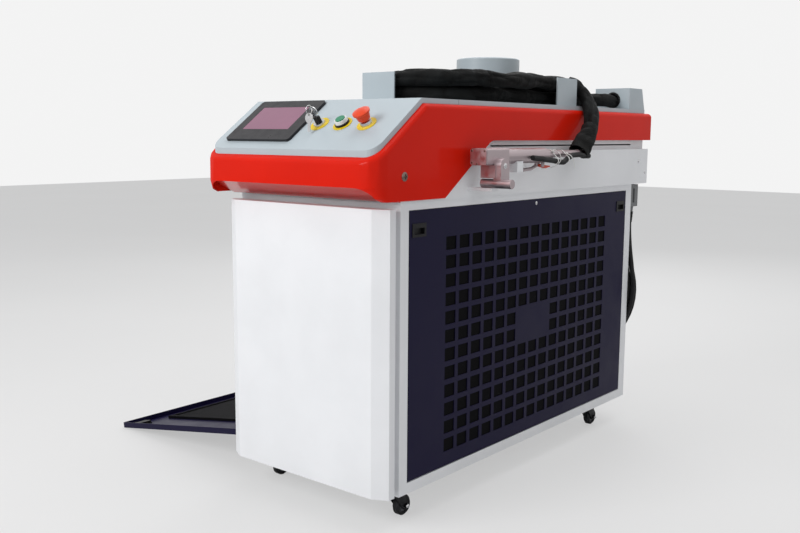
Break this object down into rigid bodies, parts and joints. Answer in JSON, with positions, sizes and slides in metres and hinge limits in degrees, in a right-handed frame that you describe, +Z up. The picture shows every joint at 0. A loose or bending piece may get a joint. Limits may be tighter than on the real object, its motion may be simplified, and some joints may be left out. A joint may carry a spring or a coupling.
{
  "type": "laser cleaning machine",
  "caption": "Laser cleaning machine: chiller cabinet on swivel casters, drop-down side panels, hood with console, coiled umbilical on the deck and a hand gun at rest.",
  "frame": {"origin": "centre of the cabinet's base underside, 80 mm above the floor", "axes": "+X to the side with the closed grille panel, -Y to the front with the console, +Z up"},
  "size_m": [1.3048, 1.3739, 1.156],
  "materials": {
    "white_paint": "smooth semi-gloss powder coat",
    "red_paint": "glossy red",
    "plate_paint": "smooth light blue-grey paint",
    "navy_paint": "smooth dark navy paint",
    "black_plastic": "matte black",
    "black_metal": "matte black",
    "mesh": "black filter mesh",
    "sleeve": "black woven sleeve over rubber",
    "cable": "black",
    "wheel_rubber": "dark grey",
    "yellow_ring": "matte yellow",
    "steel": "bright",
    "gun_metal": "polished",
    "aluminium": "plain",
    "white_plastic": "gloss white",
    "green_plastic": "gloss green",
    "red_plastic": "gloss red",
    "trigger_red": "matte orange red",
    "tank_plastic": "translucent white",
    "copper": "copper",
    "grey_plastic": "matte grey",
    "screen": "charcoal bezel with a dark glass"
  },
  "bodies": {
    "cabinet": {"base_tray": "white_paint", "front_bulkhead": "white_paint", "rear_bulkhead": "white_paint", "top_tray": "white_paint", "front_panel": "white_paint", "laser_box": "white_paint", "laser_source": "aluminium", "hood": "red_paint", "console_plate": "plate_paint", "deck_plate": "plate_paint", "coil_hub": "plate_paint", "coil_posts": "plate_paint", "hose_box": "plate_paint", "hose_grommet": "black_plastic", "gun_bracket": "white_paint", "touch_screen": "screen", "control_rings": "yellow_ring", "switch_collars": "steel", "start_bezel": "white_plastic", "condenser": "aluminium", "fan_shroud": "black_plastic", "compressor": "black_metal", "water_tank": "tank_plastic", "water_pump": "grey_plastic", "refrigerant_pipes": "copper", "power_unit": "aluminium", "power_connector": "grey_plastic", "cable_hook": "white_paint", "power_lead": "cable", "power_coil": "cable", "power_plug": "cable", "hose_coil": "sleeve", "hose_drop": "sleeve", "hose_inlet": "sleeve"},
    "left_panel": {"left_panel": "navy_paint", "left_filter": "mesh"},
    "left_latch_front": {"left_latch_front": "black_plastic"},
    "left_latch_rear": {"left_latch_rear": "black_plastic"},
    "right_panel": {"right_panel": "navy_paint", "right_filter": "mesh"},
    "right_latch_front": {"right_latch_front": "black_plastic"},
    "right_latch_rear": {"right_latch_rear": "black_plastic"},
    "key": {"key": "steel"},
    "spare_key": {"spare_key": "steel"},
    "start_button": {"start_button": "green_plastic"},
    "estop_head": {"estop_head": "red_plastic"},
    "fan": {"fan_rotor": "black_plastic"},
    "filler_cap": {"filler_cap": "black_plastic"},
    "gun": {"gun_head": "gun_metal", "gun_barrel": "gun_metal", "gun_lines": "cable"},
    "trigger": {"gun_trigger": "trigger_red"},
    "fork_front_left": {"caster_fork_front_left": "black_metal"},
    "wheel_front_left": {"caster_wheel_front_left": "wheel_rubber"},
    "fork_front_right": {"caster_fork_front_right": "black_metal"},
    "wheel_front_right": {"caster_wheel_front_right": "wheel_rubber"},
    "fork_rear_left": {"caster_fork_rear_left": "black_metal"},
    "wheel_rear_left": {"caster_wheel_rear_left": "wheel_rubber"},
    "fork_rear_right": {"caster_fork_rear_right": "black_metal"},
    "wheel_rear_right": {"caster_wheel_rear_right": "wheel_rubber"}
  },
  "joints": [
    {"name": "left_panel_fold", "type": "hinge", "parent": "cabinet", "child": "left_panel", "pos_m": [-0.262, 0, 0.037], "axis": [0, 1, 0], "range_deg": [0, 99.74]},
    {"name": "right_panel_fold", "type": "hinge", "parent": "cabinet", "child": "right_panel", "pos_m": [0.262, 0, 0.037], "axis": [0, 1, 0], "range_deg": [0, 99.74]},
    {"name": "left_latch_front_slide", "type": "slide", "parent": "left_panel", "child": "left_latch_front", "axis": [-0.9856, 0, -0.1693], "range_m": [0, 0.006]},
    {"name": "right_latch_front_slide", "type": "slide", "parent": "right_panel", "child": "right_latch_front", "axis": [0, 0, 1], "range_m": [0, 0.006]},
    {"name": "left_latch_rear_slide", "type": "slide", "parent": "left_panel", "child": "left_latch_rear", "axis": [-0.9856, 0, -0.1693], "range_m": [0, 0.006]},
    {"name": "right_latch_rear_slide", "type": "slide", "parent": "right_panel", "child": "right_latch_rear", "axis": [0, 0, 1], "range_m": [0, 0.006]},
    {"name": "swivel_front_left", "type": "hinge", "parent": "cabinet", "child": "fork_front_left", "pos_m": [-0.215, -0.529, -0.013], "axis": [0, 0, 1], "continuous": true},
    {"name": "wheel_front_left_spin", "type": "hinge", "parent": "fork_front_left", "child": "wheel_front_left", "pos_m": [-0.215, -0.507, -0.054], "axis": [1, 0, 0], "continuous": true},
    {"name": "swivel_front_right", "type": "hinge", "parent": "cabinet", "child": "fork_front_right", "pos_m": [0.215, -0.529, -0.013], "axis": [0, 0, 1], "continuous": true},
    {"name": "wheel_front_right_spin", "type": "hinge", "parent": "fork_front_right", "child": "wheel_front_right", "pos_m": [0.215, -0.507, -0.054], "axis": [1, 0, 0], "continuous": true},
    {"name": "swivel_rear_left", "type": "hinge", "parent": "cabinet", "child": "fork_rear_left", "pos_m": [-0.215, 0.438, -0.013], "axis": [0, 0, 1], "continuous": true},
    {"name": "wheel_rear_left_spin", "type": "hinge", "parent": "fork_rear_left", "child": "wheel_rear_left", "pos_m": [-0.215, 0.46, -0.054], "axis": [1, 0, 0], "continuous": true},
    {"name": "swivel_rear_right", "type": "hinge", "parent": "cabinet", "child": "fork_rear_right", "pos_m": [0.215, 0.438, -0.013], "axis": [0, 0, 1], "continuous": true},
    {"name": "wheel_rear_right_spin", "type": "hinge", "parent": "fork_rear_right", "child": "wheel_rear_right", "pos_m": [0.215, 0.46, -0.054], "axis": [1, 0, 0], "continuous": true},
    {"name": "key_turn", "type": "hinge", "parent": "cabinet", "child": "key", "pos_m": [0.0334, -0.60147, 0.87544], "axis": [0, 0.5873, -0.8094], "range_deg": [0, 90]},
    {"name": "spare_key_swing", "type": "hinge", "parent": "key", "child": "spare_key", "pos_m": [0.0334, -0.6376, 0.89889], "axis": [0, 1, 0], "range_deg": [-35, 35]},
    {"name": "start_press", "type": "slide", "parent": "cabinet", "child": "start_button", "axis": [0, 0.5873, -0.8094], "range_m": [0, 0.003], "stiffness_N_per_m": 400},
    {"name": "estop_press", "type": "slide", "parent": "cabinet", "child": "estop_head", "axis": [0, 0.5873, -0.8094], "range_m": [0, 0.005], "stiffness_N_per_m": 800},
    {"name": "fan_spin", "type": "hinge", "parent": "cabinet", "child": "fan", "pos_m": [0.18, 0, 0.29], "axis": [1, 0, 0], "continuous": true},
    {"name": "filler_cap_turn", "type": "hinge", "parent": "cabinet", "child": "filler_cap", "pos_m": [-0.205, 0.584, 0.5], "axis": [0, 1, 0], "range_deg": [0, 90]},
    {"name": "gun_lift", "type": "slide", "parent": "cabinet", "child": "gun", "axis": [0, 0, 1], "range_m": [0, 0.06], "deforming": ["hose_drop"]},
    {"name": "trigger_press", "type": "hinge", "parent": "gun", "child": "trigger", "pos_m": [0.337, -0.093, 0.775], "axis": [1, 0, 0], "range_deg": [0, 6], "stiffness_Nm_per_rad": 0.6}
  ]
}
